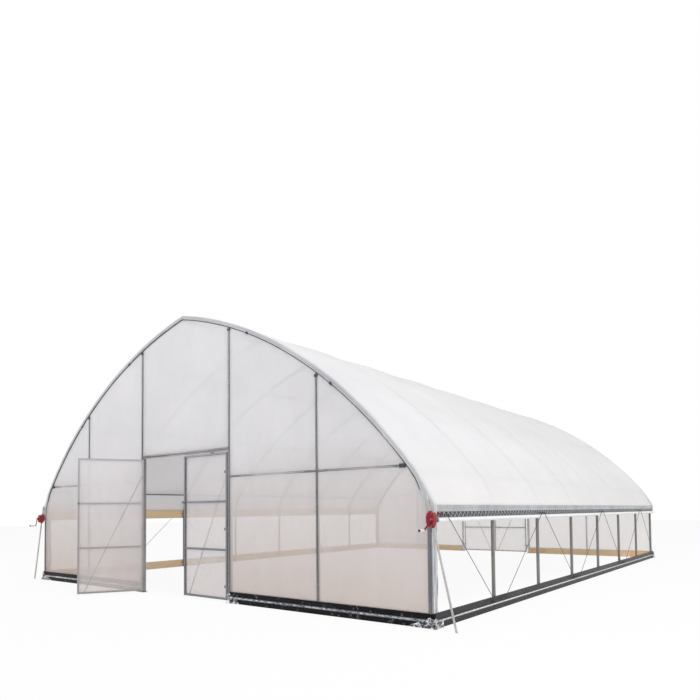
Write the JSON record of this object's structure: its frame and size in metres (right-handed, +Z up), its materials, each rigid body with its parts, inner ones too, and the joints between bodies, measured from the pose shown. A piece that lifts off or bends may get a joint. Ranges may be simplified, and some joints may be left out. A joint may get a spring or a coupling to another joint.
{
  "type": "polytunnel greenhouse",
  "caption": "Walk-in polytunnel with a pointed crown: bent steel hoops, translucent film cover, hinged double doors at both gables and rolled-up sides held by zigzag ropes.",
  "frame": {"origin": "on the ground in the middle of the whole footprint, with the front leaf that stands open counted in", "axes": "+X to the right seen from the front gable, +Y from the front gable to the back one, +Z up"},
  "size_m": [9.7266, 13.0764, 4.5371],
  "materials": {
    "galvanised_tube": "dull galvanised",
    "timber": "planed softwood",
    "black_skirt": "crinkled black polythene",
    "channel_alloy": "mill finish",
    "cover_film": "translucent white polythene",
    "gable_film": "translucent white polythene",
    "leaf_film": "translucent white polythene",
    "curtain_film": "rolled polythene",
    "rope": "braided polyester",
    "leaf_tube": "dull galvanised",
    "winch_red": "red gloss paint",
    "crank_steel": "zinc plated",
    "pole_steel": "bright galvanised"
  },
  "bodies": {
    "root": {"hoop_1": "galvanised_tube", "hoop_2": "galvanised_tube", "hoop_3": "galvanised_tube", "hoop_4": "galvanised_tube", "hoop_5": "galvanised_tube", "hoop_6": "galvanised_tube", "hoop_7": "galvanised_tube", "hoop_8": "galvanised_tube", "ridge_purlin": "galvanised_tube", "upper_purlins": "galvanised_tube", "lower_purlins": "galvanised_tube", "side_purlins": "galvanised_tube", "side_baseboards": "timber", "front_baseboards": "timber", "back_baseboards": "timber", "hipboards": "timber", "base_skirts": "black_skirt", "base_channels": "channel_alloy", "hip_channels": "channel_alloy", "left_curtain_roll": "curtain_film", "right_curtain_roll": "curtain_film", "left_ropes": "rope", "right_ropes": "rope", "front_door_frame": "galvanised_tube", "back_door_frame": "galvanised_tube", "front_gable_frame": "galvanised_tube", "back_gable_frame": "galvanised_tube", "front_arch_channel": "channel_alloy", "back_arch_channel": "channel_alloy", "roof_cover": "cover_film", "front_film_left": "gable_film", "front_film_right": "gable_film", "front_film_over_door": "gable_film", "back_film_left": "gable_film", "back_film_right": "gable_film", "back_film_over_door": "gable_film", "left_winch": "winch_red", "right_winch": "winch_red", "guide_poles": "pole_steel"},
    "front_left_leaf": {"front_left_leaf": "leaf_tube", "front_left_leaf_film": "leaf_film"},
    "front_right_leaf": {"front_right_leaf": "leaf_tube", "front_right_leaf_film": "leaf_film"},
    "back_left_leaf": {"back_left_leaf": "leaf_tube", "back_left_leaf_film": "leaf_film"},
    "back_right_leaf": {"back_right_leaf": "leaf_tube", "back_right_leaf_film": "leaf_film"},
    "left_crank": {"left_crank": "crank_steel"},
    "right_crank": {"right_crank": "crank_steel"}
  },
  "joints": [
    {"name": "front_left_leaf_hinge", "type": "hinge", "parent": "root", "child": "front_left_leaf", "pos_m": [-1.05, -5.60603, 0], "axis": [0, 0, -1], "range_deg": [-120, 45]},
    {"name": "front_right_leaf_hinge", "type": "hinge", "parent": "root", "child": "front_right_leaf", "pos_m": [1.05, -5.60603, 0], "axis": [0, 0, 1], "range_deg": [0, 165]},
    {"name": "back_left_leaf_hinge", "type": "hinge", "parent": "root", "child": "back_left_leaf", "pos_m": [-1.05, 6.49457, 0], "axis": [0, 0, 1], "range_deg": [0, 165]},
    {"name": "back_right_leaf_hinge", "type": "hinge", "parent": "root", "child": "back_right_leaf", "pos_m": [1.05, 6.49457, 0], "axis": [0, 0, -1], "range_deg": [0, 165]},
    {"name": "left_crank_turn", "type": "hinge", "parent": "root", "child": "left_crank", "pos_m": [-4.5993, -5.72373, 1.2487], "axis": [0, -1, 0], "continuous": true},
    {"name": "right_crank_turn", "type": "hinge", "parent": "root", "child": "right_crank", "pos_m": [4.5993, -5.72373, 1.2487], "axis": [0, -1, 0], "continuous": true}
  ]
}
